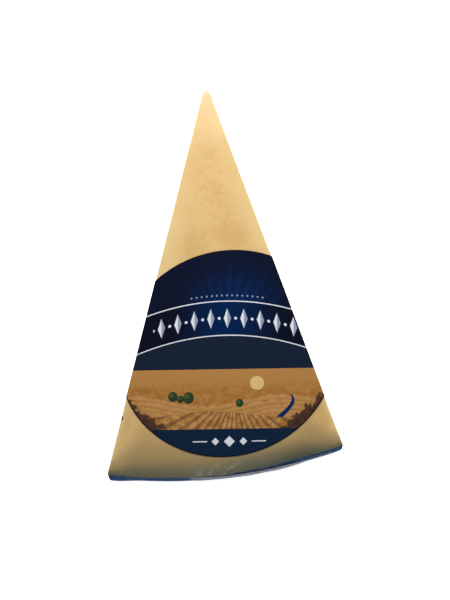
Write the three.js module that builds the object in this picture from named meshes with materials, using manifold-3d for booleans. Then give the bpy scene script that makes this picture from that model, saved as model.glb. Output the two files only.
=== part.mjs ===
// A wedge of parmesan, sealed in clear film that clings to it, with a round label on its upper
// face that folds down over both cut sides.
// Millimetres, +Z up. The wedge lies on one of its two triangular faces, with its tip towards +Y
// and its rind towards -Y. The origin is under the middle of its box, on the surface it lies on.

import * as THREE from "three";
import { mergeVertices } from "three/addons/utils/BufferGeometryUtils.js";
import Module from "manifold-3d";

const wasm = await Module();
wasm.setup();

// The wedge. Plan positions are measured from the sharp tip where its two cut sides would meet.
const HALF_ANGLE = THREE.MathUtils.degToRad(34.3 / 2);
const LEFT_SIDE = 128.8; // sharp tip to the left end of the rind
const RIGHT_SIDE = 123.6; // sharp tip to the right end of the rind
const THICKNESS = 35;
const RIND_RADIUS = 156; // the wheel's rim, in plan
const RIND_CROWN = 0.6; // how far the rim bulges at half its height
const RIND_RING = 1.5; // how deep behind the rim the bulge reaches
const TIP_RADIUS = 1.3; // the blunt tip, in plan
const CORNER_CUT = 0.5; // how far the two upright corners are rounded back
const EDGE_RADIUS = 0.25; // the film's rounding along the upper and lower edges
const EDGE_STEPS = 4;
const HEIGHT_STEPS = 8;
const ARC_STEPS = 14;

// The closing seal of the film, a strip of doubled film laid flat against the rim. Its places
// along the rim are arc lengths to the right of the point straight below the rim's centre.
const SEAL_START = -1;
const SEAL_END = 45;
const SEAL_WIDTH = 10;
const SEAL_DROP = 3.6; // how much lower the right end lies than the left one
const SEAL_TOP = 33.8; // height of the left end's upper edge
const SEAL_THICKNESS = 0.8;
const SEAL_THIN_END = 0.35;
const SEAL_ROOT = 0.6; // how deep it is set into the wedge, so that the two join
const SEAL_WAVE = 0.5; // how far its long edges wander
const SEAL_WAVES = 3.5;
const SEAL_STEPS = 36;

// The label: an ellipse cut flat, then folded over the two long edges.
const LABEL_CENTRE = new THREE.Vector2(2.1, -87.1);
const LABEL_LONG = 34.9; // half of its longer axis
const LABEL_SHORT = 32.1;
const LABEL_TILT = THREE.MathUtils.degToRad(22.5); // its longer axis above +X
const LABEL_THICKNESS = 0.3;
const LABEL_GAP = 0.1; // between the film and the label's back
const LABEL_SIDE_STEPS = 6;
const LABEL_TOP_STEPS = 18;
const LABEL_ROWS = 22;

// The direction straight out of a cut side in plan: side is -1 for the left one, 1 for the right.
const outOf = (side) =>
  new THREE.Vector2(side * Math.cos(HALF_ANGLE), Math.sin(HALF_ANGLE));

// The direction from the tip down a cut side.
const downSide = (side) =>
  new THREE.Vector2(side * Math.sin(HALF_ANGLE), -Math.cos(HALF_ANGLE));

const leftCorner = downSide(-1).multiplyScalar(LEFT_SIDE);
const rightCorner = downSide(1).multiplyScalar(RIGHT_SIDE);

// The rim is a circle through both corners, with its centre on the tip's side of their chord.
function rindCentre() {
  const chord = rightCorner.clone().sub(leftCorner);
  const half = chord.length() / 2;
  const towardsTip = new THREE.Vector2(-chord.y, chord.x).normalize();
  return leftCorner
    .clone()
    .add(rightCorner)
    .multiplyScalar(0.5)
    .addScaledVector(towardsTip, Math.sqrt(RIND_RADIUS ** 2 - half ** 2));
}
const RIND_CENTRE = rindCentre();

// The radius of the rim at a height: it bulges towards the middle.
const crownAt = (z) => RIND_CROWN * (1 - (2 * z / THICKNESS - 1) ** 2);

// The plan of the wedge: blunt tip, two straight cut sides and the arc of the rim.
function wedgePlan() {
  const tipCentre = new THREE.Vector2(0, -TIP_RADIUS / Math.sin(HALF_ANGLE));
  const tangent = TIP_RADIUS / Math.tan(HALF_ANGLE);
  const angleOf = (point) =>
    Math.atan2(point.y - RIND_CENTRE.y, point.x - RIND_CENTRE.x);
  const cutAngle = CORNER_CUT / RIND_RADIUS;
  const rimStart = angleOf(leftCorner) + cutAngle;
  const rimEnd = angleOf(rightCorner) - cutAngle;
  const onRim = (angle) =>
    new THREE.Vector2(Math.cos(angle), Math.sin(angle))
      .multiplyScalar(RIND_RADIUS)
      .add(RIND_CENTRE);

  const leftTop = downSide(-1).multiplyScalar(tangent);
  const leftEnd = downSide(-1).multiplyScalar(LEFT_SIDE - CORNER_CUT);
  const rightTop = downSide(1).multiplyScalar(tangent);
  const rightEnd = downSide(1).multiplyScalar(RIGHT_SIDE - CORNER_CUT);
  const rimFirst = onRim(rimStart);

  const plan = new THREE.Shape();
  plan.moveTo(leftTop.x, leftTop.y);
  plan.lineTo(leftEnd.x, leftEnd.y);
  plan.quadraticCurveTo(leftCorner.x, leftCorner.y, rimFirst.x, rimFirst.y);
  plan.absarc(RIND_CENTRE.x, RIND_CENTRE.y, RIND_RADIUS, rimStart, rimEnd, false);
  plan.quadraticCurveTo(rightCorner.x, rightCorner.y, rightEnd.x, rightEnd.y);
  plan.lineTo(rightTop.x, rightTop.y);
  plan.absarc(tipCentre.x, tipCentre.y, TIP_RADIUS, HALF_ANGLE, Math.PI - HALF_ANGLE, false);
  return plan;
}

// Calls move(point) on each vertex, which changes the point in place.
function reshape(geometry, move) {
  const position = geometry.getAttribute("position");
  const point = new THREE.Vector3();
  for (let i = 0; i < position.count; i++) {
    point.fromBufferAttribute(position, i);
    move(point);
    position.setXYZ(i, point.x, point.y, point.z);
  }
  return geometry;
}

// The wedge's body: its plan raised to the thickness, with rounded edges and a bulging rim.
function wedgeBody() {
  const body = new THREE.ExtrudeGeometry(wedgePlan(), {
    depth: THICKNESS - 2 * EDGE_RADIUS,
    steps: HEIGHT_STEPS,
    curveSegments: ARC_STEPS,
    bevelEnabled: true,
    bevelThickness: EDGE_RADIUS,
    bevelSize: EDGE_RADIUS,
    bevelOffset: -EDGE_RADIUS,
    bevelSegments: EDGE_STEPS,
  });
  body.translate(0, 0, EDGE_RADIUS);
  return reshape(body, (point) => {
    const away = new THREE.Vector2(point.x, point.y).sub(RIND_CENTRE);
    const share = THREE.MathUtils.smoothstep(
      away.length(),
      RIND_RADIUS - RIND_RING,
      RIND_RADIUS,
    );
    away.setLength(away.length() + share * crownAt(point.z)).add(RIND_CENTRE);
    point.set(away.x, away.y, point.z);
  });
}

// The closing seal: a box bent round the rim, which slopes down to the right, thins out at both
// ends and has wavy long edges.
function sealStrip() {
  const strip = new THREE.BoxGeometry(1, 1, 1, SEAL_STEPS, 1, 4);
  return reshape(strip, (point) => {
    const along = point.x + 0.5;
    const across = point.z;
    const wave = SEAL_WAVE * Math.sin(2 * Math.PI * SEAL_WAVES * along);
    const z =
      SEAL_TOP - SEAL_DROP * along + SEAL_WIDTH * (across - 0.5) + wave * across;
    const ends = Math.sin(Math.PI * along);
    const proud = SEAL_THIN_END + (SEAL_THICKNESS - SEAL_THIN_END) * ends;
    const outside = point.y < 0;
    const radius = RIND_RADIUS + crownAt(z) + (outside ? proud : -SEAL_ROOT);
    const arc = THREE.MathUtils.lerp(SEAL_START, SEAL_END, along);
    const angle = arc / RIND_RADIUS - Math.PI / 2;
    point.set(
      RIND_CENTRE.x + radius * Math.cos(angle),
      RIND_CENTRE.y + radius * Math.sin(angle),
      z,
    );
  });
}

// Where a point of the flat label comes to lie once it is folded round the long edges, at a
// height above the film. The folds start one edge radius inside the wedge's outline.
const FOLD_TIP = new THREE.Vector2(0, -EDGE_RADIUS / Math.sin(HALF_ANGLE));
const QUARTER_FOLD = (EDGE_RADIUS * Math.PI) / 2;

function folded(flat, height) {
  const fromTip = flat.clone().sub(FOLD_TIP);
  const side = fromTip.dot(outOf(1)) > fromTip.dot(outOf(-1)) ? 1 : -1;
  const out = outOf(side);
  const past = Math.max(0, fromTip.dot(out));
  const turn = Math.min(past, QUARTER_FOLD) / EDGE_RADIUS;
  const down = Math.max(0, past - QUARTER_FOLD);
  const reach = (EDGE_RADIUS + height) * Math.sin(turn) - past;
  return new THREE.Vector3(
    flat.x + out.x * reach,
    flat.y + out.y * reach,
    THICKNESS - EDGE_RADIUS + (EDGE_RADIUS + height) * Math.cos(turn) - down,
  );
}

// The two points where a line of the flat label meets its elliptical outline, the lower first.
function labelEnds(origin, direction) {
  const turned = (vector) => vector.clone().rotateAround(new THREE.Vector2(), -LABEL_TILT);
  const scaled = (vector) => new THREE.Vector2(vector.x / LABEL_LONG, vector.y / LABEL_SHORT);
  const start = scaled(turned(origin.clone().sub(LABEL_CENTRE)));
  const step = scaled(turned(direction));
  const a = step.dot(step);
  const b = start.dot(step);
  const root = Math.sqrt(Math.max(0, b * b - a * (start.dot(start) - 1)));
  return [-1, 1].map((sign) =>
    origin.clone().addScaledVector(direction, (-b + sign * root) / a),
  );
}

// How far past a fold's start the flat label reaches on one side.
function labelReach(side) {
  const out = outOf(side);
  const turn = out.angle() - LABEL_TILT;
  const halfWidth = Math.hypot(LABEL_LONG * Math.cos(turn), LABEL_SHORT * Math.sin(turn));
  return LABEL_CENTRE.clone().sub(FOLD_TIP).dot(out) + halfWidth;
}

// The lines that carry the label's mesh, from left to right. They run along the cut side on both
// flanks, and fan out from the tip on the upper face, so that each fold lies on a line.
function labelLines() {
  const flank = (side) => {
    const distances = [];
    const reach = labelReach(side);
    for (let i = 0; i < EDGE_STEPS; i++) distances.push((QUARTER_FOLD * i) / EDGE_STEPS);
    for (let i = 0; i <= LABEL_SIDE_STEPS; i++) {
      const share = Math.sin((Math.PI / 2) * 0.97 * (i / LABEL_SIDE_STEPS));
      distances.push(QUARTER_FOLD + (reach - QUARTER_FOLD) * share);
    }
    return distances.map((past) => ({
      origin: FOLD_TIP.clone().addScaledVector(outOf(side), past),
      direction: downSide(side).negate(),
    }));
  };
  const top = [];
  for (let i = 1; i < LABEL_TOP_STEPS; i++) {
    const angle = HALF_ANGLE * (1 - (2 * i) / LABEL_TOP_STEPS);
    const direction = new THREE.Vector2(Math.sin(angle), Math.cos(angle));
    top.push({ origin: FOLD_TIP, direction });
  }
  return [...flank(-1).reverse(), ...top, ...flank(1)];
}

// The label: a box whose columns are the lines, whose rows divide each line, and whose two
// layers are the label's back and its printed face.
function labelSheet() {
  const ends = labelLines().map((line) => labelEnds(line.origin, line.direction));
  const columns = ends.length - 1;
  const sheet = new THREE.BoxGeometry(1, 1, 1, columns, LABEL_ROWS, 1);
  return reshape(sheet, (point) => {
    const [low, high] = ends[Math.round((point.x + 0.5) * columns)];
    const flat = low.clone().lerp(high, point.y + 0.5);
    const height = LABEL_GAP + (point.z > 0 ? LABEL_THICKNESS : 0);
    point.copy(folded(flat, height));
  });
}

// A closed three.js geometry as a solid that can be joined to others.
function toSolid(geometry) {
  const bare = geometry.clone();
  bare.deleteAttribute("normal");
  bare.deleteAttribute("uv");
  const merged = mergeVertices(bare, 1e-4);
  return new wasm.Manifold(
    new wasm.Mesh({
      numProp: 3,
      vertProperties: merged.getAttribute("position").array,
      triVerts: new Uint32Array(merged.index.array),
    }),
  );
}

// A solid back as a three.js geometry.
function toGeometry(solid) {
  const mesh = solid.getMesh();
  const geometry = new THREE.BufferGeometry();
  geometry.setAttribute("position", new THREE.BufferAttribute(mesh.vertProperties, 3));
  geometry.setIndex(new THREE.BufferAttribute(mesh.triVerts, 1));
  geometry.computeVertexNormals();
  return geometry;
}

// The sealed wedge is one solid: the cheese, its rind and the film that holds them.
function sealedWedge() {
  const solid = toSolid(wedgeBody()).add(toSolid(sealStrip()));
  const mesh = new THREE.Mesh(
    toGeometry(solid),
    new THREE.MeshStandardMaterial({ color: 0xe6c88f, roughness: 0.3, metalness: 0 }),
  );
  mesh.name = "sealed_wedge";
  return mesh;
}

function label() {
  const mesh = new THREE.Mesh(
    labelSheet(),
    new THREE.MeshStandardMaterial({ color: 0x10264c, roughness: 0.45, metalness: 0 }),
  );
  mesh.name = "label";
  return mesh;
}

const pack = new THREE.Group();
pack.add(sealedWedge(), label());

const middle = new THREE.Box3().setFromObject(pack).getCenter(new THREE.Vector3());
pack.position.set(-middle.x, -middle.y, 0);

export default pack;
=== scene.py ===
# %% [markdown]
# # A wedge of parmesan, sealed in clear film
#
# The wedge was cut from a small wheel, so it has two flat cut sides, a rim with a coloured rind,
# and two triangular faces. It was then sealed in a clear bag that shrank until it clung to the
# cheese, and a round label was laid on the upper face and folded down over both cut sides.
#
# The frame holds the sealed wedge as one solid, and the label as another. This script puts four
# pieces in their place: the cheese, the film, the film's closing seal and the label.

import random
from math import cos, exp, hypot, pi, radians, sin, sqrt

import bmesh
import bpy
from mathutils import Matrix, Vector, noise


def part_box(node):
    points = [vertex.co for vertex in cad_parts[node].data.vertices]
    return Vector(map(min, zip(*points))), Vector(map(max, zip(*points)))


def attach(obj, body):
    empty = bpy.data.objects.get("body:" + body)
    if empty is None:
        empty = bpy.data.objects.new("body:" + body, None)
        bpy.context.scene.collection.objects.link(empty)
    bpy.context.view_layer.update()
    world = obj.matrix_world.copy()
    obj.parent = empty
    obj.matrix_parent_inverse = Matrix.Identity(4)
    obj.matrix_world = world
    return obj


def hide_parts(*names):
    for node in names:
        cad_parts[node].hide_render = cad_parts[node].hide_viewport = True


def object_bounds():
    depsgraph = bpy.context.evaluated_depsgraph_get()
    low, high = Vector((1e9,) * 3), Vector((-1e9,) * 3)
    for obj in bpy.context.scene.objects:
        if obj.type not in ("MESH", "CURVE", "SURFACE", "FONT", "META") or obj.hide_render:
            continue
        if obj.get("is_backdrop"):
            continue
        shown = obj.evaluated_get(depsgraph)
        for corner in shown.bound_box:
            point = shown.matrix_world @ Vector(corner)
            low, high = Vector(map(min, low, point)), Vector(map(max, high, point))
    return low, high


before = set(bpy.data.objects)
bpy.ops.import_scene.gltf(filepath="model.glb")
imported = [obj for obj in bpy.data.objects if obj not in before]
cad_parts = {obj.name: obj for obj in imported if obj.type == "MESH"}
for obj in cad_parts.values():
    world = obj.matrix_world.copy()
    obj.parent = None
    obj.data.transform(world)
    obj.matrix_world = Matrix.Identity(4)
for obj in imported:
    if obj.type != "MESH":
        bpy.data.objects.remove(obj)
cad_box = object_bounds()
wedge_low, wedge_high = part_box("sealed_wedge")
print("sealed wedge, in metres:", wedge_low[:], wedge_high[:])

# %% [markdown]
# ## The sizes that the pieces share
#
# A wedge is easiest to describe from the sharp tip where its two cut sides would meet: the angle
# between them, the length of each, and the radius of the rim. The same few sizes shape the
# cheese, the film and the label, so that they fit each other at every point.

# %% Sizes of the wedge
MM = 0.001
HALF_ANGLE = radians(34.3 / 2)
LEFT_SIDE = 128.8 * MM
RIGHT_SIDE = 123.6 * MM
THICKNESS = wedge_high.z - wedge_low.z
RIND_RADIUS = 156 * MM
RIND_CROWN = 0.6 * MM
RIND_RING = 1.5 * MM
TIP_RADIUS = 1.3 * MM
CORNER_CUT = 0.5 * MM
EDGE_RADIUS = 0.25 * MM
UP = Vector((0, 0, 1))

SHARP_TIP = Vector(
    (
        (LEFT_SIDE - RIGHT_SIDE) / 2 * sin(HALF_ANGLE),
        wedge_high.y + TIP_RADIUS * (1 / sin(HALF_ANGLE) - 1),
        wedge_low.z,
    )
)
print("sharp tip:", [round(c / MM, 2) for c in SHARP_TIP], "mm")


# %% Directions and corners
def out_of(side):
    """Straight out of a cut side: -1 is the left one, 1 the right one."""
    return Vector((side * cos(HALF_ANGLE), sin(HALF_ANGLE), 0))


def down_side(side):
    """From the tip along a cut side."""
    return Vector((side * sin(HALF_ANGLE), -cos(HALF_ANGLE), 0))


def from_tip(x, y, z=0.0):
    """A place in millimetres from the sharp tip, as a point of the frame."""
    return SHARP_TIP + Vector((x, y, z)) * MM


left_corner = SHARP_TIP + down_side(-1) * LEFT_SIDE
right_corner = SHARP_TIP + down_side(1) * RIGHT_SIDE
chord = right_corner - left_corner
towards_tip = Vector((-chord.y, chord.x, 0)).normalized()
rise = sqrt(RIND_RADIUS**2 - (chord.length / 2) ** 2)
RIND_CENTRE = (left_corner + right_corner) / 2 + towards_tip * rise
rim_angle = (left_corner - RIND_CENTRE).angle(right_corner - RIND_CENTRE)
print("rim:", round(rim_angle * RIND_RADIUS / MM, 1), "mm along its arc")

# %% [markdown]
# ## One form for cheese and film
#
# Film that clings has the cheese's own form, so both start as the same closed block. Its plan is
# drawn with two spins, one round the blunt tip and one round the rim, then it is extruded to the
# wedge's thickness and its long edges are bevelled. A soft thing needs a net of small faces that
# can bend, and planes that cut the whole block give it one without changing its form.

# %% The block
TIP_STEPS = 12
RIM_STEPS = 24
CORNER_STEPS = 6
EDGE_STEPS = 4


def draw_plan(block):
    """The wedge seen from above, as one face."""
    tip_centre = SHARP_TIP + Vector((0, -TIP_RADIUS / sin(HALF_ANGLE), 0))
    first = block.verts.new(tip_centre + out_of(1) * TIP_RADIUS)
    tip = bmesh.ops.spin(
        block, geom=[first], cent=tip_centre, axis=UP, angle=pi - 2 * HALF_ANGLE, steps=TIP_STEPS
    )
    left = block.verts.new(left_corner)
    rim = bmesh.ops.spin(
        block, geom=[left], cent=RIND_CENTRE, axis=UP, angle=rim_angle, steps=RIM_STEPS
    )
    right = rim["geom_last"][0]
    block.edges.new((tip["geom_last"][0], left))
    block.edges.new((right, first))
    bmesh.ops.contextual_create(block, geom=block.edges[:])
    bmesh.ops.bevel(
        block,
        geom=[left, right],
        offset=CORNER_CUT,
        segments=CORNER_STEPS,
        profile=0.5,
        affect="VERTICES",
        material=-1,
    )


def wedge_block():
    """The sealed wedge's form as one closed mesh."""
    block = bmesh.new()
    draw_plan(block)
    raised = bmesh.ops.extrude_face_region(block, geom=block.faces[:])
    top = [part for part in raised["geom"] if isinstance(part, bmesh.types.BMVert)]
    bmesh.ops.translate(block, verts=top, vec=UP * THICKNESS)
    level = [e for e in block.edges if abs(e.verts[0].co.z - e.verts[1].co.z) < MM]
    bmesh.ops.bevel(
        block,
        geom=level,
        offset=EDGE_RADIUS,
        segments=EDGE_STEPS,
        profile=0.5,
        affect="EDGES",
        material=-1,
    )
    bmesh.ops.recalc_face_normals(block, faces=block.faces[:])
    return block


sample = wedge_block()
print("block:", len(sample.faces), "faces,", round(sample.calc_volume() / MM**3), "mm3")
sample.free()

# %% The net of cells
CUT_TOLERANCE = 1e-7


def spaced(low, high, step):
    """Even places from low up to, but not at, high, about a step apart."""
    count = max(1, round((high - low) / step))
    return [low + (high - low) * i / count for i in range(count)]


def cut_across(body, normal, places):
    """Cuts a mesh with planes square to a direction, and leaves it closed."""
    for place in places:
        bmesh.ops.bisect_plane(
            body,
            geom=body.verts[:] + body.edges[:] + body.faces[:],
            dist=CUT_TOLERANCE,
            plane_co=normal * place,
            plane_no=normal,
        )


print("places from 0 to 4, a step of 1 apart:", spaced(0, 4, 1))

# %% [markdown]
# ## The rim's bulge and the drawn-out corners
#
# A wheel's rim bulges between its two faces, and film that shrinks over a sharp corner draws out
# into a small ear. Both are small moves of the block's own net, made before anything is taken
# from it, so cheese and film still fit each other. The left ear sits low and fades out towards
# the upper face, and the right one is full in the upper half.

# %% The bulge and the ears
LEFT_EAR = Vector((0, -0.8, 0)) * MM
LEFT_EAR_REACH = 11 * MM
LEFT_EAR_FADES = (THICKNESS * 0.75, THICKNESS)
RIGHT_EAR = Vector((0.25, -0.3, 0)) * MM
RIGHT_EAR_REACH = 14 * MM
RIGHT_EAR_GROWS = (0, THICKNESS * 0.5)


def smooth_share(value, low, high):
    """0 up to low, 1 from high, and an S curve between."""
    share = min(1, max(0, (value - low) / (high - low)))
    return share * share * (3 - 2 * share)


def crown_at(z):
    """How far the rim bulges at a height."""
    return RIND_CROWN * (1 - (2 * z / THICKNESS - 1) ** 2)


def ear_at(point):
    """How far a point near a corner is drawn out, and which way."""
    from_left = (point - left_corner).to_2d().length
    from_right = (point - right_corner).to_2d().length
    left_share = 1 - smooth_share(from_left, 0, LEFT_EAR_REACH)
    low_share = 1 - smooth_share(point.z, *LEFT_EAR_FADES)
    right_share = 1 - smooth_share(from_right, 0, RIGHT_EAR_REACH)
    high_share = smooth_share(point.z, *RIGHT_EAR_GROWS)
    return LEFT_EAR * (left_share * low_share) + RIGHT_EAR * (right_share * high_share)


def netted_block(across, along, upright):
    """The block, cut at these places on X, Y and Z, with its rim bulged and its ears drawn out."""
    body = wedge_block()
    cut_across(body, Vector((1, 0, 0)), across)
    cut_across(body, Vector((0, 1, 0)), along)
    cut_across(body, UP, upright)
    for vert in body.verts:
        away = (vert.co - RIND_CENTRE) * Vector((1, 1, 0))
        share = smooth_share(away.length, RIND_RADIUS - RIND_RING, RIND_RADIUS)
        vert.co += away.normalized() * share * crown_at(vert.co.z) + ear_at(vert.co)
    body.normal_update()
    return body


print("left ear:", round(ear_at(left_corner).length / MM, 2), "mm")
print("right ear:", round(ear_at(right_corner + UP * THICKNESS).length / MM, 2), "mm")

# %% Putting a piece in the scene
SHARP_ANGLE = radians(40)


def add_piece(name, body, finish, slot, *nodes):
    """Turns a bmesh into a piece that rides with the wedge and stands for these nodes."""
    mesh = bpy.data.meshes.new(name)
    body.to_mesh(mesh)
    body.free()
    mesh.shade_smooth()
    mesh.set_sharp_from_angle(angle=SHARP_ANGLE)
    mesh.materials.append(finish)
    piece = bpy.data.objects.new(name, mesh)
    bpy.context.scene.collection.objects.link(piece)
    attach(piece, "root")
    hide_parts(*nodes)
    print(name + ":", len(mesh.polygons), "faces")


# %% [markdown]
# ## Writing materials as sums
#
# A procedural material is mostly arithmetic on coordinates: how deep a point lies behind the
# rim, or on which side of a curve. Written with Python's own operators, that reads as it would
# on paper. Each operator adds a Math node, and one method adds every other kind of node.


# %% One class for shader maths
class Wire:
    """The output of a node. Operators on it add Math nodes."""

    def __init__(self, tree, socket=None):
        self.tree = tree
        self.socket = socket

    def node(self, kind, settings, sockets, output=0):
        """Adds a node of any kind, sets it up, fills its sockets and returns one output."""
        made = self.tree.nodes.new(kind)
        for name, value in settings.items():
            setattr(made, name, value)
        for key, value in sockets.items():
            if isinstance(value, Wire):
                self.tree.links.new(value.socket, made.inputs[key])
            else:
                made.inputs[key].default_value = value
        return Wire(self.tree, made.outputs[output])

    def maths(self, operation, *values):
        """Adds a Math node that works on these values."""
        return self.node("ShaderNodeMath", {"operation": operation}, dict(enumerate(values)))

    def __add__(self, other):
        return self.maths("ADD", self, other)

    __radd__ = __add__

    def __sub__(self, other):
        return self.maths("SUBTRACT", self, other)

    def __rsub__(self, other):
        return self.maths("SUBTRACT", other, self)

    def __mul__(self, other):
        return self.maths("MULTIPLY", self, other)

    __rmul__ = __mul__

    def __truediv__(self, other):
        return self.maths("DIVIDE", self, other)

    def __pow__(self, other):
        return self.maths("POWER", self, other)

    def __abs__(self):
        return self.maths("ABSOLUTE", self)

    def sine(self):
        return self.maths("SINE", self)

    def fraction(self):
        return self.maths("FRACT", self)

    def ramp(self, low, high):
        """0 where the value is low, 1 where it is high, and an S curve between."""
        curve = {"interpolation_type": "SMOOTHSTEP"}
        return self.node(
            "ShaderNodeMapRange", curve, {"Value": self, "From Min": low, "From Max": high}
        )

    def blend(self, first, second):
        """The first colour where this value is 0, the second where it is 1."""
        return self.node(
            "ShaderNodeMix", {"data_type": "RGBA"}, {0: self, 6: first, 7: second}, 2
        )

    def grain(self, scale, detail=2.0, roughness=0.5):
        """Soft noise from 0 to 1, read at this place."""
        return self.node(
            "ShaderNodeTexNoise",
            {},
            {"Vector": self, "Scale": scale, "Detail": detail, "Roughness": roughness},
            "Fac",
        )

    def relief(self, strength, distance):
        """The surface's normal, tilted as if this value were a height of so many metres."""
        return self.node(
            "ShaderNodeBump", {}, {"Height": self, "Strength": strength, "Distance": distance}
        )

    def length(self, other):
        """How long the line is whose two parts are this value and the other."""
        return self.maths("SQRT", self * self + other * other)


# %% New materials and colours
def new_finish(name):
    """An empty material, a Wire to add its nodes with, and a function that ends it."""
    finish = bpy.data.materials.new(name)
    finish.use_nodes = True
    tree = finish.node_tree
    tree.nodes.clear()
    output = tree.nodes.new("ShaderNodeOutputMaterial")

    def end_with(shader):
        tree.links.new(shader.socket, output.inputs["Surface"])
        return finish

    return Wire(tree), end_with


def ink(red, green, blue):
    """A colour as it looks on a screen, 0 to 255, in the linear light that shaders use."""
    screen = [channel / 255 for channel in (red, green, blue)]
    linear = [c / 12.92 if c <= 0.04045 else ((c + 0.055) / 1.055) ** 2.4 for c in screen]
    return (*linear, 1)


WHITE = (1, 1, 1, 1)
print("middle grey in linear light:", round(ink(128, 128, 128)[0], 3))

# %% [markdown]
# ## The cheese
#
# Parmesan is a pale straw yellow with a fine grain and small white crystals. Along its cut sides
# the paste is painted paler, in a band that widens towards the tip: a painted highlight. Towards
# the rim it turns a dull brown over about two centimetres, less where a cut side is near, and
# darker to the right of the middle; this brown is partly the rind's own colour and partly painted
# shade.
# The rim itself has a thin coat of blue, which reaches a little further in at its foot. Nearly all
# of this depends on how deep a point lies behind the rim or behind a cut side, so the material
# works out these two depths from the wedge's own sizes, and every face shows the layers by itself.

# %% The colours of paste, rind and coat
PASTE_PALE = ink(209, 176, 120)
PASTE_DEEP = ink(199, 164, 106)
# A paler paste tone: a painted highlight along the cut sides.
PASTE_HIGHLIGHT = ink(214, 188, 134)
CRYSTAL = ink(232, 216, 176)
# The two rind tones are partly the rind's own brown and partly painted shade.
RIND_INNER_AND_SHADE = ink(147, 128, 88)
RIND_OUTER_AND_SHADE = ink(98, 98, 77)
# A darker tone for a patch of the outer rind, right of the middle.
RIND_DARK_PATCH = ink(76, 80, 68)
COAT_BLUE = ink(29, 68, 112)
COAT_DARK = ink(17, 46, 88)
SPECK = ink(30, 30, 24)
print("blue coat in linear light:", [round(channel, 3) for channel in COAT_BLUE[:3]])


# %% How deep a point lies
def parts_of(vector):
    """The three numbers of a vector."""
    parts = vector.node("ShaderNodeSeparateXYZ", {}, {0: vector})
    return [Wire(vector.tree, output) for output in parts.socket.node.outputs]


def depth_behind_rim(place):
    """How many millimetres a point lies behind the rim's arc."""
    x, y, _ = parts_of(place)
    return (RIND_RADIUS - (x - RIND_CENTRE.x).length(y - RIND_CENTRE.y)) / MM


def depth_behind_sides(place):
    """How many millimetres a point lies behind the nearer cut side."""
    x, y, _ = parts_of(place)
    left, right = [
        (SHARP_TIP.dot(out_of(side)) - x * out_of(side).x - y * out_of(side).y) / MM
        for side in (-1, 1)
    ]
    return left.maths("MINIMUM", left, right)


# %% The paste, with a painted highlight along the cut sides
MOTTLE_SHARE = 0.6
PASTE_SPREAD = (0.38, 0.62)
CRYSTAL_SCALE = 420.0
CRYSTAL_SIZE = (0.1, 0.2)
CRYSTAL_PATCHES = (0.6, 0.66)
CRYSTAL_SHARE = 0.4
# Width and strength of the painted highlight along the cut sides.
HIGHLIGHT_WIDTH_AT_RIM = 2.5
HIGHLIGHT_WIDTH_AT_TIP = 8.0
HIGHLIGHT_WIDENS = (-40 * MM, 15 * MM)
HIGHLIGHT_SHARE = 0.85
HIGHLIGHT_LOSS_AT_TIP = 0.7
HIGHLIGHT_WEAKENS = (15 * MM, 50 * MM)


def draw_paste(place, mottle, fine):
    """Grainy paste with small crystals, and a paler band along the cut sides that is a painted
    highlight.
    """
    _, y, _ = parts_of(place)
    tone = mottle * MOTTLE_SHARE + fine * (1 - MOTTLE_SHARE)
    paste = tone.ramp(*PASTE_SPREAD).blend(PASTE_PALE, PASTE_DEEP)
    cells = place.node(
        "ShaderNodeTexVoronoi", {}, {"Vector": place, "Scale": CRYSTAL_SCALE}, "Distance"
    )
    patches = place.grain(scale=260, detail=1).ramp(*CRYSTAL_PATCHES)
    crystals = (1 - cells.ramp(*CRYSTAL_SIZE)) * patches
    paste = (crystals * CRYSTAL_SHARE).blend(paste, CRYSTAL)
    width = HIGHLIGHT_WIDTH_AT_RIM + y.ramp(*HIGHLIGHT_WIDENS) * (HIGHLIGHT_WIDTH_AT_TIP - HIGHLIGHT_WIDTH_AT_RIM)
    strength = HIGHLIGHT_SHARE - y.ramp(*HIGHLIGHT_WEAKENS) * HIGHLIGHT_LOSS_AT_TIP
    # Painted highlight: paler paste in a band along the cut sides.
    edge_highlight = (1 - depth_behind_sides(place).ramp(0, width)) * strength
    return edge_highlight.blend(paste, PASTE_HIGHLIGHT)


# %% The rind, from its inner brown to its darker outer part, partly painted shade
BROWN_LEFT = 22
BROWN_RIGHT = 18
BROWN_NARROWS = (-5 * MM, 30 * MM)
BROWN_AT_SIDE = 0.35
BROWN_SIDE_REACH = 9
BROWN_WOBBLE = 2
OUTER_SHARE = 0.29
# A darker patch of the outer rind, right of the middle and fainter near a cut side.
DARK_PATCH_START = (-4 * MM, 14 * MM)
DARK_PATCH_FROM_SIDE = (3, 12)
DARK_PATCH_OUTER_GAIN = 0.08


def dark_patch_at(place):
    """How much darker the outer rind is: more to the right of the middle, and less near a cut side.
    """
    x, _, _ = parts_of(place)
    return x.ramp(*DARK_PATCH_START) * depth_behind_sides(place).ramp(*DARK_PATCH_FROM_SIDE)


def draw_rind_and_shade(place, paste, mottle, fine, dark_patch):
    """Paste that browns towards the rim and is darkest in its outer part, partly painted shade."""
    x, _, _ = parts_of(place)
    near_side = 1 - depth_behind_sides(place).ramp(0, BROWN_SIDE_REACH)
    reach = BROWN_LEFT - x.ramp(*BROWN_NARROWS) * (BROWN_LEFT - BROWN_RIGHT)
    reach = reach * (1 - near_side * (1 - BROWN_AT_SIDE))
    inward = (depth_behind_rim(place) + (mottle - 0.5) * BROWN_WOBBLE + (fine - 0.5)) / reach
    # The brown towards the rim and its darker outer part: partly the rind's own colour, partly
    # painted shade.
    rind = (1 - inward.ramp(0, 1)).blend(paste, RIND_INNER_AND_SHADE)
    outer = dark_patch.blend(RIND_OUTER_AND_SHADE, RIND_DARK_PATCH)
    return (1 - inward.ramp(0, OUTER_SHARE + dark_patch * DARK_PATCH_OUTER_GAIN)).blend(rind, outer)


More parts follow.
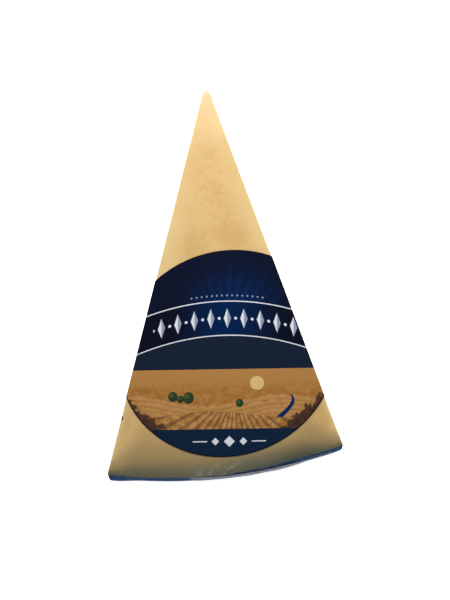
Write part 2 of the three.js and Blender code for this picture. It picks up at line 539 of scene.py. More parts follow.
# %% The coat, and a dark speck in the cheese
COAT_DEPTH = 0.05
COAT_WRAP = 0.4
COAT_WRAP_ENDS = (3 * MM, 28 * MM)
COAT_DARK_PATCH_GAIN = 0.25
COAT_BLUR = 0.1
SPECK_PLACE = from_tip(-32.6, -105.6, 35)
SPECK_EDGE = (0.65, 0.9)
SPECK_WOBBLE = 0.6


def draw_coat(place, colour, dark_patch):
    """The blue coat on the rim. It wraps further over the edge at the foot and right of the middle.
    """
    _, _, z = parts_of(place)
    tone = place.grain(scale=420, detail=4).ramp(0.3, 0.7).blend(COAT_BLUE, COAT_DARK)
    wrap = COAT_DEPTH + (1 - z.ramp(*COAT_WRAP_ENDS)) * COAT_WRAP + dark_patch * COAT_DARK_PATCH_GAIN
    coat = 1 - (depth_behind_rim(place) - wrap).ramp(-COAT_BLUR, COAT_BLUR)
    return coat.blend(colour, tone)


def draw_speck(place, colour, fine):
    """A dark speck, under a millimetre in radius, at the upper face's left edge."""
    apart = place.node(
        "ShaderNodeVectorMath", {"operation": "DISTANCE"}, {0: place, 1: SPECK_PLACE}, "Value"
    )
    speck = 1 - (apart / MM + (fine - 0.5) * SPECK_WOBBLE).ramp(*SPECK_EDGE)
    return speck.blend(colour, SPECK)


# %% The cheese's finish
def cheese_finish():
    """Paste, rind, coat and speck, with a dull and slightly translucent surface."""
    wire, end_with = new_finish("cheese_paste_and_rind")
    place = wire.node("ShaderNodeTexCoord", {}, {}, "Object")
    mottle = place.grain(scale=110, detail=3)
    fine = place.grain(scale=900, detail=3, roughness=0.6)
    dark_patch = dark_patch_at(place)
    colour = draw_rind_and_shade(place, draw_paste(place, mottle, fine), mottle, fine, dark_patch)
    colour = draw_speck(place, draw_coat(place, colour, dark_patch), fine)
    height = fine * 0.5 + place.grain(scale=2200, detail=2) * 0.5
    return end_with(
        wire.node(
            "ShaderNodeBsdfPrincipled",
            {"subsurface_method": "RANDOM_WALK"},
            {
                "Base Color": colour,
                "Roughness": 0.6,
                "Normal": height.relief(strength=0.3, distance=0.3 * MM),
                "Subsurface Weight": 0.2,
                "Subsurface Radius": (1.0, 0.75, 0.45),
                "Subsurface Scale": 3 * MM,
                "Specular IOR Level": 0.0,
            },
        )
    )


# %% The cheese's block
FILM_GAP = 0.12 * MM
CHEESE_CELL = 1.4 * MM
CHEESE_RELIEF = 0.06 * MM
RELIEF_SCALE = 260


def cheese_body():
    """The wedge's block, shrunk to leave room for the film, with a faintly uneven surface."""
    body = netted_block(
        spaced(wedge_low.x, wedge_high.x, CHEESE_CELL)[1:],
        spaced(wedge_low.y, wedge_high.y, CHEESE_CELL)[1:],
        spaced(wedge_low.z, wedge_high.z, CHEESE_CELL)[1:],
    )
    ways_in = [-vert.normal for vert in body.verts]
    for vert, way in zip(body.verts, ways_in, strict=True):
        dent = 0.5 + 0.5 * noise.noise(vert.co * RELIEF_SCALE)
        vert.co += way * (FILM_GAP + CHEESE_RELIEF * dent)
    return body


add_piece("cheese", cheese_body(), cheese_finish(), "cheese_in_film", "sealed_wedge")

# %% [markdown]
# ## The film
#
# A shrink bag is one thin closed skin. It lies flat on the faces and puckers where it had more
# film than cheese to cover: a gather at the rim's upper edge, from which folds run over the
# upper face, and small pinches at the corners. Each fold here is a line with a height and a
# width that lifts the film near it, so the folds are real relief and catch the light. Film that
# is folded or lies double also turns whitish, and each point of the skin keeps how much.

# %% The folds of the gather
def on_rim(arc, z, proud=0.0):
    """A point on the rim: an arc length to the right of straight below its centre."""
    angle = arc / RIND_RADIUS - pi / 2
    radius = RIND_RADIUS + crown_at(z) + proud
    level = RIND_CENTRE + Vector((cos(angle), sin(angle), 0)) * radius
    return Vector((level.x, level.y, z))


def top_fold(arc, inward, heading, length, height, width):
    """A fold on the upper face, from a place behind the rim's edge. Its heading is in degrees."""
    start = on_rim(arc * MM, THICKNESS, -inward * MM)
    turn = radians(heading)
    end = start + Vector((cos(turn), sin(turn), 0)) * length * MM
    return start, end, height * MM, width * MM


def rim_fold(arc, slide, drop, height, width):
    """A fold that runs down the rim from its upper edge and slides to the right."""
    start = on_rim(arc * MM, THICKNESS)
    end = on_rim((arc + slide) * MM, THICKNESS - drop * MM)
    return start, end, height * MM, width * MM


def side_fold(side, first, last, inward, height, width):
    """A fold on the upper face along a cut side, between two distances from its corner."""
    corner = left_corner if side < 0 else right_corner
    line = corner + UP * THICKNESS - out_of(side) * inward * MM
    ends = [line - down_side(side) * distance * MM for distance in (first, last)]
    return *ends, height * MM, width * MM


# Arc, distance behind the rim's edge, heading, length, height and width.
TOP_FOLDS = [
    (1.4, 0.2, 104, 3.4, 0.18, 0.5),
    (1.6, 0.2, 68, 4.6, 0.22, 0.55),
    (1.9, 0.4, 50, 4.6, 0.24, 0.7),
    (4.6, 0.4, 40, 8.0, 0.38, 0.8),
    (5.6, 0.3, 58, 4.4, 0.18, 0.5),
    (7.4, 1.2, 53, 4.6, 0.22, 0.6),
    (11.2, 1.3, 29, 8.2, 0.27, 0.85),
    (13.3, 0.6, 27, 5.2, 0.16, 0.6),
    (16.8, 4.8, 15, 6.6, 0.16, 0.65),
    (22.0, 0.8, 24, 4.4, 0.12, 0.5),
]
# Arc, slide, drop, height and width.
RIM_FOLDS = [
    (0.7, -5, 13, 0.2, 0.45),
    (1.3, -1.5, 16, 0.26, 0.5),
    (1.9, 2.5, 12, 0.22, 0.45),
    (2.7, 7, 9, 0.16, 0.4),
]
# Side, its two distances from the corner, distance in from the edge, height and width.
SIDE_FOLDS = [(-1, 2, 11, 1.3, 0.12, 0.32), (-1, 8, 17, 0.8, 0.1, 0.3), (1, 1.5, 9, 1.1, 0.1, 0.3)]
folds = [top_fold(*fold) for fold in TOP_FOLDS]
folds += [rim_fold(*fold) for fold in RIM_FOLDS]
folds += [side_fold(*fold) for fold in SIDE_FOLDS]
print(len(folds), "folds by hand")

# %% The pinches at the corners
PINCHES = 5
PINCH_UPWARD = UP * 0.4
PINCH_BACKWARD = 0.6
PINCH_REACH = (2.5 * MM, 7 * MM)
PINCH_HEIGHT = (0.1 * MM, 0.24 * MM)
PINCH_SPREAD = 0.8
PINCH_WIDTH = 0.42 * MM
draw = random.Random(7)


def pinches(corner, inward):
    """Short folds that run from a corner over the faces that meet there."""
    lines = []
    for _ in range(PINCHES):
        spread = Vector([draw.uniform(-1, 1) for _ in range(3)])
        way = (inward + spread * PINCH_SPREAD).normalized()
        end = corner + way * draw.uniform(*PINCH_REACH)
        lines.append((corner, end, draw.uniform(*PINCH_HEIGHT), PINCH_WIDTH))
    return lines


for corner, side in ((left_corner, -1), (right_corner, 1)):
    backward = down_side(side) * -PINCH_BACKWARD
    folds += pinches(corner, PINCH_UPWARD + backward)
    folds += pinches(corner + UP * THICKNESS, backward - PINCH_UPWARD)
print(len(folds), "folds in all")

# %% The label's outline, which the folds keep clear of
LABEL_CENTRE = from_tip(2.1, -87.1)
LABEL_LONG = 34.9 * MM
LABEL_SHORT = 32.1 * MM
LABEL_TILT = radians(22.5)
LABEL_CLEAR = 1.012
LABEL_FADE = 0.03
FOLD_SKIRT = 4


def label_share(point):
    """1 on the label's outline, less inside it and more outside, for a point of the top face."""
    away = point - LABEL_CENTRE
    turned = Matrix.Rotation(-LABEL_TILT, 2) @ away.to_2d()
    return hypot(turned.x / LABEL_LONG, turned.y / LABEL_SHORT)


def lift_at(point):
    """How far the folds lift the film at a point, clear of the label."""
    lift = 0
    for start, end, height, width in folds:
        run = end - start
        offset = point - start
        if offset.length > run.length + FOLD_SKIRT * width:
            continue
        share = min(1, max(0, offset.dot(run) / run.length_squared))
        apart = (offset - run * share).length
        lift = max(lift, height * (1 - share**2) * exp(-((apart / width) ** 2)))
    return lift * smooth_share(label_share(point), LABEL_CLEAR, LABEL_CLEAR + LABEL_FADE)


print("label, flat:", [round(2 * half / MM, 1) for half in (LABEL_LONG, LABEL_SHORT)], "mm")


# %% Where the film laps over the rim's edge
LAP_START = (-3.5 * MM, 1 * MM)
LAP_END = (9 * MM, 15 * MM)
LAP_DEPTH = (0.1 * MM, 1.6 * MM)
LAP_EDGE = 0.4 * MM
LAP_FACE = 0.35
LAP_HEIGHT = (THICKNESS - 6 * MM, THICKNESS - MM)
VEIL_END = (24 * MM, 31 * MM)
VEIL_DEPTH = (2 * MM, 8 * MM)
VEIL_SHARE = 0.2


def lap_at(point):
    """How whitish the film is near the rim's upper edge, from 0 to 1.

    The lap is a strip that is whitest on the rim itself. The veil reaches further over the upper
    face and along the rim, and is much fainter.
    """
    away = (point - RIND_CENTRE).to_2d()
    arc = RIND_RADIUS * Vector((0, -1)).angle_signed(away) * -1
    depth = RIND_RADIUS - away.length
    whiteness = LAP_FACE + (1 - LAP_FACE) * (1 - smooth_share(depth, 0, LAP_EDGE))
    lap = whiteness * (1 - smooth_share(depth, *LAP_DEPTH)) * (1 - smooth_share(arc, *LAP_END))
    veil = (1 - smooth_share(depth, *VEIL_DEPTH)) * (1 - smooth_share(arc, *VEIL_END))
    started = smooth_share(arc, *LAP_START) * smooth_share(point.z, *LAP_HEIGHT)
    return max(lap, veil * VEIL_SHARE) * started


for arc in (-3, 5, 20):
    print("whiteness", arc, "mm along the rim:", round(lap_at(on_rim(arc * MM, THICKNESS)), 2))

# %% The film's skin
FOLD_CELL = 0.36 * MM
FILM_CELL = 1.3 * MM
FILM_STEP = 0.8 * MM
FOLD_ARCS = (-8 * MM, 34 * MM)
FOLD_DEPTH = 17 * MM
fold_left, fold_right = [on_rim(arc, 0).x for arc in FOLD_ARCS]
fold_back = wedge_low.y + FOLD_DEPTH
HAZE_LAYER = "haze"
HAZE_LIFT = (0.02 * MM, 0.28 * MM)
FOLD_HAZE = 0.65


def film_body():
    """The block's own surface, lifted along the folds. Where it is whitish is kept with it."""
    across = spaced(wedge_low.x, fold_left, FILM_CELL)[1:]
    across += spaced(fold_left, fold_right, FOLD_CELL)
    across += spaced(fold_right, wedge_high.x, FILM_CELL)
    along = spaced(wedge_low.y, fold_back, FOLD_CELL)[1:]
    along += spaced(fold_back, wedge_high.y, FILM_CELL)
    body = netted_block(across, along, spaced(wedge_low.z, wedge_high.z, FILM_STEP)[1:])
    layer = body.verts.layers.float.new(HAZE_LAYER)
    ways_out = [vert.normal.copy() for vert in body.verts]
    for vert, way in zip(body.verts, ways_out, strict=True):
        lift = lift_at(vert.co) if vert.co.z > EDGE_RADIUS else 0
        vert[layer] = max(smooth_share(lift, *HAZE_LIFT) * FOLD_HAZE, lap_at(vert.co))
        vert.co += way * lift
    return body


# %% The film's finish
STREAK_SPREAD = (0.2, 0.7)
RIPPLE_SHARE = 0.7
GLOSS_HEAD_ON = 0.035
GLOSS_GRAZING = 0.5
GLOSS_POWER = 5
RIND_DULLING = 0.93
RIND_DULL_DEPTH = 0.3


def film_finish(name, milk, least_haze, most_haze, stretch):
    """See-through with a hard gloss, and whitish in streaks where it is folded or doubled.

    The streaks are read at the point's place times the stretch, so a small number there draws
    them out. The gloss is duller on the rim, where the film lies against a rough coat.
    """
    wire, end_with = new_finish(name)
    place = wire.node("ShaderNodeTexCoord", {}, {}, "Object")
    folded_over = wire.node("ShaderNodeAttribute", {"attribute_name": HAZE_LAYER}, {}, "Fac")
    stretched = place.node(
        "ShaderNodeVectorMath", {"operation": "MULTIPLY"}, {0: place, 1: stretch}
    )
    streaks = stretched.grain(scale=700, detail=4, roughness=0.6)
    height = place.grain(scale=160) * RIPPLE_SHARE + streaks * (1 - RIPPLE_SHARE)
    ripple = height.relief(strength=0.25, distance=0.6 * MM)
    haze = least_haze + folded_over * streaks.ramp(*STREAK_SPREAD) * (most_haze - least_haze)
    clear = wire.node("ShaderNodeBsdfTransparent", {}, {"Color": WHITE})
    milky = wire.node(
        "ShaderNodeBsdfPrincipled",
        {},
        {
            "Base Color": milk,
            "Roughness": 0.4,
            "Normal": ripple,
            "Specular IOR Level": 0.1,
        },
    )
    body = wire.node("ShaderNodeMixShader", {}, {0: haze, 1: clear, 2: milky})
    gloss = wire.node("ShaderNodeBsdfGlossy", {}, {"Roughness": 0.14, "Normal": ripple})
    facing = wire.node("ShaderNodeLayerWeight", {}, {"Blend": 0.5, "Normal": ripple}, "Facing")
    on_rind = 1 - depth_behind_rim(place).ramp(0, RIND_DULL_DEPTH)
    mirror = GLOSS_HEAD_ON + facing**GLOSS_POWER * GLOSS_GRAZING
    mirror = mirror * (1 - on_rind * RIND_DULLING)
    return end_with(wire.node("ShaderNodeMixShader", {}, {0: mirror, 1: body, 2: gloss}))


clear_film = film_finish("clear_film", ink(156, 158, 142), 0.012, 0.85, (1, 1, 1))
add_piece("film", film_body(), clear_film, "cheese_in_film", "sealed_wedge")

# %% [markdown]
# ## The closing seal
#
# The bag's mouth was welded flat and folded against the rim. The weld is two layers of film
# pressed between ribbed jaws, so it is whiter than the rest and has fine ribs along it. It is a
# grid bent round the rim, which billows in its middle and lies closer at its wavy upper edge.
# Towards its right end it is pressed flat and as clear as the rest, and at its left end its
# whiteness fades in, so it doesn't start with a hard line.

# %% The seal
SEAL_START = -1 * MM
SEAL_END = 45 * MM
SEAL_WIDTH = 10 * MM
SEAL_DROP = 4.4 * MM
SEAL_TOP = 33.8 * MM
SEAL_WAVE = 0.5 * MM
SEAL_WAVES = 3.5
SEAL_FILM = 0.16 * MM
SEAL_PROUD = 0.45 * MM
SEAL_LEAST_PROUD = 0.05 * MM
SEAL_END_SHARE = 0.35
SEAL_TOP_LOSS = 0.6
SEAL_FADE_IN = (-0.02, 0.1)
SEAL_FADE_OUT = (0.68, 0.82)
BILLOW_SHARE = 0.4
BILLOWS_ALONG = 9
BILLOWS_ACROSS = 2.5
BILLOW_SLICE = 3
RIBS = 11
RIB_HEIGHT = 0.035 * MM
SEAL_COLUMNS = 160
SEAL_ROWS = 8 * RIBS


def proud_at(along, across):
    """How far the strip stands off the rim, at shares of its length and width."""
    place = Vector((along * BILLOWS_ALONG, across * BILLOWS_ACROSS, BILLOW_SLICE))
    billow = 1 - BILLOW_SHARE + BILLOW_SHARE * noise.noise(place)
    arch = SEAL_END_SHARE + (1 - SEAL_END_SHARE) * sin(pi * along)
    proud = SEAL_PROUD * billow * arch * (1 - SEAL_TOP_LOSS * across**2)
    return SEAL_LEAST_PROUD + proud * (1 - smooth_share(along, *SEAL_FADE_OUT))


def seal_body():
    """A strip of welded film, laid round the rim."""
    body = bmesh.new()
    bmesh.ops.create_grid(body, x_segments=SEAL_COLUMNS, y_segments=SEAL_ROWS, size=0.5)
    raised = bmesh.ops.extrude_face_region(body, geom=body.faces[:])
    outer = [part for part in raised["geom"] if isinstance(part, bmesh.types.BMVert)]
    bmesh.ops.translate(body, verts=outer, vec=UP * SEAL_FILM)
    layer = body.verts.layers.float.new(HAZE_LAYER)
    for vert in body.verts:
        along, across, height = vert.co.x + 0.5, vert.co.y + 0.5, vert.co.z
        wave = SEAL_WAVE * sin(2 * pi * SEAL_WAVES * along) * across
        z = SEAL_TOP - SEAL_DROP * along + SEAL_WIDTH * (across - 1) + wave
        rib = RIB_HEIGHT * sin(2 * pi * RIBS * across)
        arc = SEAL_START + (SEAL_END - SEAL_START) * along
        vert.co = on_rim(arc, z, proud_at(along, across) + rib + height)
        fade_out = smooth_share(along, *SEAL_FADE_OUT)
        vert[layer] = smooth_share(along, *SEAL_FADE_IN) * (1 - fade_out)
    bmesh.ops.recalc_face_normals(body, faces=body.faces[:])
    return body


welded_film = film_finish("welded_film", ink(146, 152, 174), 0.03, 0.9, (0.12, 0.5, 1.3))
add_piece("seal", seal_body(), welded_film, "cheese_in_film", "sealed_wedge")

# %% [markdown]
# ## The label
#
# The label was printed flat as an ellipse and then folded over the two long edges. It is made in
# the same order: a flat plate, a map that keeps where each point was while it was flat, cuts
# along the folds, and then the bend itself. The print is drawn on that map, so it runs round
# the folds unbroken.

# %% The flat label
LABEL_GAP = 0.03 * MM
LABEL_THICKNESS = 0.08 * MM
LABEL_CELL = 1.5 * MM
LABEL_DEPTH = 14 * MM
OUTLINE_STEPS = 256
FOLD_STEPS = 6
FOLD_TIP = SHARP_TIP + Vector((0, -EDGE_RADIUS / sin(HALF_ANGLE), 0))
QUARTER_FOLD = EDGE_RADIUS * pi / 2


def flat_label():
    """The label before it is folded: an elliptical plate, cut along its bends and across."""
    plate = bmesh.new()
    bmesh.ops.create_circle(plate, cap_ends=True, radius=1, segments=OUTLINE_STEPS)
    bmesh.ops.scale(plate, verts=plate.verts[:], vec=(LABEL_LONG, LABEL_SHORT, 1))
    tilt = Matrix.Rotation(LABEL_TILT, 3, "Z")
    bmesh.ops.rotate(plate, verts=plate.verts[:], matrix=tilt, cent=(0, 0, 0))
    raised = bmesh.ops.extrude_face_region(plate, geom=plate.faces[:])
    top = [part for part in raised["geom"] if isinstance(part, bmesh.types.BMVert)]
    bmesh.ops.translate(plate, verts=top, vec=UP * LABEL_THICKNESS)
    bmesh.ops.translate(plate, verts=plate.verts[:], vec=LABEL_CENTRE)
    for side in (-1, 1):
        out = out_of(side)
        edge = FOLD_TIP.dot(out)
        bend = spaced(edge, edge + QUARTER_FOLD, QUARTER_FOLD / FOLD_STEPS)
        flap = spaced(edge + QUARTER_FOLD, edge + LABEL_DEPTH, LABEL_CELL)
        cut_across(plate, out, bend + flap)
    for axis in (0, 1):
        middle = LABEL_CENTRE[axis]
        rows = spaced(middle - LABEL_LONG, middle + LABEL_LONG, LABEL_CELL)
        cut_across(plate, Vector((1 - axis, axis, 0)), rows)
    bmesh.ops.recalc_face_normals(plate, faces=plate.faces[:])
    return plate


# %% The print's own coordinates
PRINT_MAP = "OFBake"
PRINT_SPAN = 72 * MM
PRINT_TURN = radians(-2.4)
BACK_SCALE = 0.12
BACK_PLACE = Vector((0.07, 0.07))
PRINT_MIDDLE = Vector((0.5, 0.5))
CUT_EDGE_SCALE = 1.02
UPRIGHT = 0.5


def map_print(plate):
    """Gives each corner of each face its place on the print, and the back a spare corner of it.

    The plate's rim is spread a little outwards, so the border runs on over the cut edge.
    """
    layer = plate.loops.layers.uv.new(PRINT_MAP)
    turn = Matrix.Rotation(-PRINT_TURN, 2)
    for face in plate.faces:
        for loop in face.loops:
            flat = turn @ (loop.vert.co - LABEL_CENTRE).to_2d() / PRINT_SPAN
            if face.normal.z < -UPRIGHT:
                loop[layer].uv = flat * BACK_SCALE + BACK_PLACE
            elif face.normal.z < UPRIGHT and loop.vert.co.z < LABEL_THICKNESS / 2:
                loop[layer].uv = flat * CUT_EDGE_SCALE + PRINT_MIDDLE
            else:
                loop[layer].uv = flat + PRINT_MIDDLE


# %% Folding the label
def folded(flat, height):
    """Where a point of the flat label comes to lie, at a height above the film."""
    from_fold = flat - FOLD_TIP
    side = 1 if from_fold.dot(out_of(1)) > from_fold.dot(out_of(-1)) else -1
    out = out_of(side)
    past = max(0, from_fold.dot(out))
    turn = min(past, QUARTER_FOLD) / EDGE_RADIUS
    down = max(0, past - QUARTER_FOLD)
    reach = (EDGE_RADIUS + height) * sin(turn) - past
    z = THICKNESS - EDGE_RADIUS + (EDGE_RADIUS + height) * cos(turn) - down
    return Vector((flat.x + out.x * reach, flat.y + out.y * reach, z))


def label_body():
    """The label, folded over the wedge's long edges."""
    plate = flat_label()
    map_print(plate)
    for vert in plate.verts:
        vert.co = folded(vert.co, LABEL_GAP + vert.co.z)
    lowest = min(vert.co.z for vert in plate.verts)
    print("label folded down to", round(lowest / MM, 1), "mm above the floor")
    return plate


# %% [markdown]
# ## The print
#
# The print is a generic design: a navy ground with a bright middle, an arched band with a row of
# faceted lozenges, a strip of golden hills, and a navy foot. Each shape is a mask, a number that
# is 1 inside it and 0 outside, and a colour is blended in where its mask is 1. All sizes are
# millimetres on the flat print, counted from its middle.

# %% Masks
PRINT_BLUR = 0.07


def past(value, edge, blur=PRINT_BLUR):
    """1 where a value is beyond an edge."""
    return value.ramp(edge - blur, edge + blur)


def between(value, low, high):
    """1 where a value lies between two edges."""
    return past(value, low) * (1 - past(value, high))


def oval(u, v, half_u, half_v):
    """1 inside an ellipse."""
    reach = (u / half_u).length(v / half_v)
    return 1 - past(reach, 1, PRINT_BLUR / min(half_u, half_v))


def lozenge(u, v, half_u, half_v):
    """1 inside an upright lozenge."""
    return 1 - past(abs(u) / half_u + abs(v) / half_v, 1, PRINT_BLUR / half_u)


def repeated(u, pitch, shift=0.0):
    """The distance to the nearest of a row of places, one every pitch."""
    return ((u / pitch + (0.5 + shift)).fraction() - 0.5) * pitch


# %% The ground
NAVY = ink(11, 17, 37)
NIGHT = ink(11, 14, 29)
BRIGHT_BLUE = ink(3, 30, 70)
PALE_BLUE = ink(18, 50, 100)
SLATE = ink(20, 31, 48)
BAND_MIDDLE = 11.0
BAND_DROP = 5.5
BAND_REACH = 28.0
GLOW_MIDDLE = (2, 14)
GLOW_REACH = (20, 17)
RAYS = 36
RAY_CENTRE = 5.0
RAY_BLUR = 0.5
RAY_SHARE = 0.3


def draw_ground(u, v, height):
    """Navy above the band, brighter in its middle and with faint rays, and slate below it."""
    across = (u - GLOW_MIDDLE[0]) / GLOW_REACH[0]
    upwards = (v - GLOW_MIDDLE[1]) / GLOW_REACH[1]
    glow = 1 - across.length(upwards).ramp(0, 1)
    upper = glow.blend(NAVY, BRIGHT_BLUE)
    turn = u.maths("ARCTAN2", u, v - RAY_CENTRE)
    rays = past((turn * RAYS).sine(), 0, RAY_BLUR) * glow * RAY_SHARE
    upper = rays.blend(upper, PALE_BLUE)
    return past(height, 0).blend(SLATE, upper)


# %% The arched band
SILVER = ink(205, 208, 214)
SILVER_SHADE = ink(132, 142, 166)
BAND_HALF = 5.4
BAND_GLOW_REACH = 20
LINE_WIDTH = 0.34
STONE_PITCH = 5.2
STONE_HALF = (1.15, 3.1)
STONE_ROW = 23.4
DOT_RADIUS = 0.45
BEAD_PITCH = 1.6
BEAD_RADIUS = 0.28
BEAD_RISE = 7.2
BEAD_ROW = 12.2


def draw_band(u, height, ground):
    """A dark band between two silver lines, with lozenges and dots in it and beads above."""
    inside = between(height, -BAND_HALF, BAND_HALF)
    glow = 1 - (abs(u) / BAND_GLOW_REACH).ramp(0, 1)
    colour = inside.blend(ground, glow.blend(NIGHT, BRIGHT_BLUE))
    line = 1 - past(abs(abs(height) - BAND_HALF), LINE_WIDTH / 2)
    colour = line.blend(colour, SILVER)
    row = 1 - past(abs(u), STONE_ROW)
    step = repeated(u, STONE_PITCH)
    stones = lozenge(step, height, *STONE_HALF) * row
    colour = stones.blend(colour, past(step, 0).blend(SILVER, SILVER_SHADE))
    dots = oval(repeated(u, STONE_PITCH, 0.5), height, DOT_RADIUS, DOT_RADIUS) * row
    colour = dots.blend(colour, SILVER)
    beads = oval(repeated(u, BEAD_PITCH), height - BEAD_RISE, BEAD_RADIUS, BEAD_RADIUS)
    beads = beads * (1 - past(abs(u), BEAD_ROW))
    return beads.blend(colour, SILVER_SHADE)


# %% The strip's colours and lines
GOLD = ink(165, 119, 66)
GOLD_DEEP = ink(146, 96, 42)
GOLD_LIGHT = ink(177, 135, 84)
SUN = ink(205, 172, 114)
EARTH = ink(50, 37, 32)
EARTH_RED = ink(80, 54, 40)
LEAF = ink(42, 57, 38)
LEAF_LIGHT = ink(66, 80, 52)
WATER = ink(16, 36, 88)
STRIP_TOP = -5.1
STRIP_FOOT = -23.9
# Crest, swing, stretch and shift of each rolling line.
FAR_HILLS = (-12.0, 1.3, 4.6, 1.0)
NEAR_HILLS = (-14.8, 1.7, 7.5, -0.6)
FIELD = (-19.6, 1.2, 9.5, 2.2)
STREAM = (17.0, 3.2, 2.9, 0.4)


def rolling(value, crest, swing, stretch, shift):
    """A line that rolls about its crest, as a skyline or a stream does."""
    return (value / stretch + shift).sine() * swing + crest


# %% The sky, the hills and the stream
SKY_FADE = (-15, -6)
BRUSH_SWAY = 3
SUN_PLACE = (9, -9.6)
SUN_RADIUS = 2.2
TERRACES = 4.2
TERRACE_EDGE = 0.4
TERRACE_SHARE = 0.5
STREAM_HEAD = -13
STREAM_WIDENS = 0.13
STREAM_LEAST = 0.2


def draw_hills(u, v, brush):
    """Golden hills under a pale sun, with terraces and a stream that widens towards the foot."""
    colour = (v + brush * BRUSH_SWAY).ramp(*SKY_FADE).blend(GOLD_DEEP, GOLD)
    sun = oval(u - SUN_PLACE[0], v - SUN_PLACE[1], SUN_RADIUS, SUN_RADIUS)
    colour = sun.blend(colour, SUN)
    colour = past(rolling(u, *FAR_HILLS) - v, 0).blend(colour, brush.blend(GOLD_DEEP, GOLD))
    below_crest = rolling(u, *NEAR_HILLS) - v
    near = past(below_crest, 0)
    colour = near.blend(colour, brush.blend(GOLD, GOLD_LIGHT))
    steps = (below_crest * TERRACES + brush * BRUSH_SWAY).sine()
    terraces = past(steps, TERRACE_EDGE, TERRACE_EDGE) * near * TERRACE_SHARE
    colour = terraces.blend(colour, GOLD_DEEP)
    half_width = (STREAM_HEAD - v) * STREAM_WIDENS + STREAM_LEAST
    stream = (1 - past(abs(u - rolling(v, *STREAM)) - half_width, 0)) * near
    return stream.blend(colour, WATER)


# %% The field, the trees and the dark corners
FURROWS = 44
FURROW_CENTRE = (2, -12)
FURROW_EDGE = 0.3
FURROW_BLUR = 0.4
FURROW_SHARE = 0.55
CORNER_MIDDLE = -2
CORNER_SLOPES = (0.9, 1.1)
CORNER_SWAY = 4
CORNER_EDGE = (43.5, 45.5)
# Where each tree stands, and the radius of its crown.
TREES = [(-17.5, -13.6, 1.5), (-15.2, -14.4, 1.1), (-12.6, -14.0, 1.7), (3.4, -15.8, 1.2)]
# The next three are shares of that radius.
CROWN_HEIGHT = 1.1
LIT_PLACE = (-0.3, 0.35)
LIT_HALF = (0.5, 0.45)


def draw_field(u, v, brush, colour):
    """A ploughed field in front of the hills, whose furrows fan out from one place."""
    field = past(rolling(u, *FIELD) - v, 0)
    colour = field.blend(colour, brush.blend(GOLD_DEEP, GOLD_LIGHT))
    turn = u.maths("ARCTAN2", u - FURROW_CENTRE[0], FURROW_CENTRE[1] - v)
    furrows = past((turn * FURROWS).sine(), FURROW_EDGE, FURROW_BLUR) * field * FURROW_SHARE
    return furrows.blend(colour, EARTH_RED)


def draw_trees(u, v, colour):
    """Round trees, each with a lighter spot up and to the left."""
    for tree_u, tree_v, size in TREES:
        crown = oval(u - tree_u, v - tree_v, size, size * CROWN_HEIGHT)
        lit_u = tree_u + size * LIT_PLACE[0]
        lit_v = tree_v + size * LIT_PLACE[1]
        lit = oval(u - lit_u, v - lit_v, size * LIT_HALF[0], size * LIT_HALF[1])
        colour = crown.blend(colour, LEAF)
        colour = lit.blend(colour, LEAF_LIGHT)
    return colour


def draw_strip(u, v, brush):
    """The whole strip, with dark earth in its lower corners."""
    colour = draw_field(u, v, brush, draw_hills(u, v, brush))
    colour = draw_trees(u, v, colour)
    outwards, upwards = CORNER_SLOPES
    corner = abs(u - CORNER_MIDDLE) * outwards - v * upwards + brush * CORNER_SWAY
    return corner.ramp(*CORNER_EDGE).blend(colour, brush.blend(EARTH, EARTH_RED))


# %% The foot and the border
FOOT = ink(16, 33, 55)
FOOT_ROW = -27.8
FOOT_STONES = [(0, 1.7), (-4.4, 1.2), (4.4, 1.2)]
FOOT_LINES = (7, 11.5)
BORDER = ink(14, 17, 29)
BORDER_WIDTH = 0.28
BORDER_BLUR = 0.003


def draw_foot(u, v, colour):
    """Three lozenges between two short lines, on navy."""
    colour = (1 - past(v, STRIP_FOOT)).blend(colour, FOOT)
    row = v - FOOT_ROW
    for step, size in FOOT_STONES:
        colour = lozenge(u - step, row, size, size).blend(colour, SILVER)
    lines = between(abs(u), *FOOT_LINES) * (1 - past(abs(row), LINE_WIDTH / 2))
    return lines.blend(colour, SILVER)


def draw_border(u, v, colour):
    """A thin dark line along the label's outline."""
    turn = LABEL_TILT - PRINT_TURN
    along = u * cos(turn) + v * sin(turn)
    across = v * cos(turn) - u * sin(turn)
    reach = (along / (LABEL_LONG / MM)).length(across / (LABEL_SHORT / MM))
    border = past(reach, 1 - BORDER_WIDTH / (LABEL_SHORT / MM), BORDER_BLUR)
    return border.blend(colour, BORDER)


# %% The whole print
PRINT_ROUGHNESS = 0.34
PRINT_ROUGHNESS_SPREAD = 0.08


def print_finish():
    """The printed label, satin."""
    wire, end_with = new_finish("printed_label")
    flat = wire.node("ShaderNodeUVMap", {"uv_map": PRINT_MAP}, {})
    u, v = [(part - 0.5) * (PRINT_SPAN / MM) for part in parts_of(flat)[:2]]
    brush = flat.grain(scale=34, detail=3, roughness=0.55).ramp(0.3, 0.7)
    height = v - BAND_MIDDLE + u * u * (BAND_DROP / BAND_REACH**2)
    colour = draw_band(u, height, draw_ground(u, v, height))
    colour = between(v, STRIP_FOOT, STRIP_TOP).blend(colour, draw_strip(u, v, brush))
    colour = draw_border(u, v, draw_foot(u, v, colour))
    return end_with(
        wire.node(
            "ShaderNodeBsdfPrincipled",
            {},
            {
                "Base Color": colour,
                "Roughness": PRINT_ROUGHNESS + flat.grain(scale=90) * PRINT_ROUGHNESS_SPREAD,
                "Normal": flat.grain(scale=14).relief(strength=0.15, distance=0.6 * MM),
                "Specular IOR Level": 0.02,
            },
        )
    )


add_piece("printed_label", label_body(), print_finish(), "printed_label", "label")

# %% [markdown]
# ## Floor, light and camera
#
# A pale floor that glows by itself, so that it stays nearly white in the shade, and soft light
# mainly from beyond the tip, so that the wedge is brightest there and its rim stays dim. The
# camera looks almost straight down, from a little way off the rim.

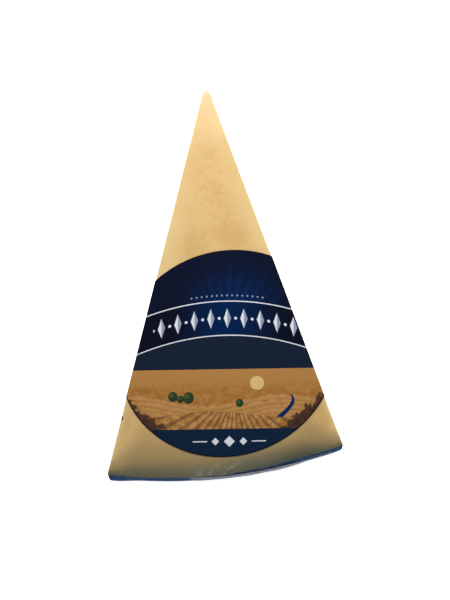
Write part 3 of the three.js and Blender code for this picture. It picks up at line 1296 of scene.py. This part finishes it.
# %% The floor
FLOOR_REACH = 2.5
FLOOR_GREY = (0.9, 0.9, 0.9, 1)
FLOOR_GLOW = 0.9


def lay_floor():
    """A wide pale sheet under the wedge."""
    body = bmesh.new()
    bmesh.ops.create_grid(body, x_segments=1, y_segments=1, size=FLOOR_REACH)
    mesh = bpy.data.meshes.new("floor")
    body.to_mesh(mesh)
    body.free()
    wire, end_with = new_finish("floor_white")
    mesh.materials.append(
        end_with(
            wire.node(
                "ShaderNodeBsdfPrincipled",
                {},
                {
                    "Base Color": FLOOR_GREY,
                    "Roughness": 0.8,
                    "Specular IOR Level": 0.1,
                    "Emission Color": WHITE,
                    "Emission Strength": FLOOR_GLOW,
                },
            )
        )
    )
    floor = bpy.data.objects.new("floor", mesh)
    bpy.context.scene.collection.objects.link(floor)
    floor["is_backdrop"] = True


lay_floor()


# %% The light
WORLD_STRENGTH = 0.1
# Name, place, size and power, in metres and watts.
LIGHTS = [
    ("light_beyond_tip", (0.02, 0.18, 0.26), 0.2, 1.28),
    ("light_left", (-0.6, -0.05, 0.3), 0.5, 0.4),
    ("light_right", (0.6, -0.05, 0.3), 0.5, 0.4),
]


def softbox(name, place, size, power):
    """A square soft light that faces the wedge."""
    lamp = bpy.data.lights.new(name, "AREA")
    lamp.size = size
    lamp.energy = power
    light = bpy.data.objects.new(name, lamp)
    light.location = place
    light.rotation_euler = (-Vector(place)).to_track_quat("-Z", "Y").to_euler()
    light.visible_camera = False
    bpy.context.scene.collection.objects.link(light)


for light in LIGHTS:
    softbox(*light)
world = bpy.data.worlds.new("studio")
world.use_nodes = True
world.node_tree.nodes["Background"].inputs["Color"].default_value = WHITE
world.node_tree.nodes["Background"].inputs["Strength"].default_value = WORLD_STRENGTH
bpy.context.scene.world = world
bpy.context.scene.view_settings.view_transform = "Standard"
print(len(LIGHTS), "soft lights")

# %% The camera
CAMERA_LEAN = radians(5.2)
CAMERA_ROLL = radians(-3.31)
CAMERA_DISTANCE = 0.9
CAMERA_TARGET = Vector((2.905 * MM, -5.56 * MM, THICKNESS))
CAMERA_LENS = 171.32
SENSOR_WIDTH = 36


def place_camera():
    """A long lens over the wedge, leaning a little to show the rim."""
    lens = bpy.data.cameras.new("camera")
    lens.lens = CAMERA_LENS
    lens.sensor_width = SENSOR_WIDTH
    camera = bpy.data.objects.new("camera", lens)
    back = Vector((0, -sin(CAMERA_LEAN), cos(CAMERA_LEAN)))
    camera.location = CAMERA_TARGET + back * CAMERA_DISTANCE
    lean = Matrix.Rotation(CAMERA_LEAN, 3, "X")
    camera.rotation_euler = (lean @ Matrix.Rotation(CAMERA_ROLL, 3, "Z")).to_euler()
    bpy.context.scene.collection.objects.link(camera)
    bpy.context.scene.camera = camera
    print("camera at, in metres:", [round(part, 3) for part in camera.location])


place_camera()

# %% [markdown]
# ## The sizes, with and without the scene's own pieces
#
# The scene's pieces stand in for the solids, so they have to fill the same box. The first box was
# measured straight after the frame was loaded, the second is measured now, and both are printed.

# %% The two boxes, to compare
visual_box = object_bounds()
for name, (low, high) in (("CAD", cad_box), ("visual", visual_box)):
    print(name, "box, in mm:", [round((b - a) / MM, 2) for a, b in zip(low, high, strict=True)])
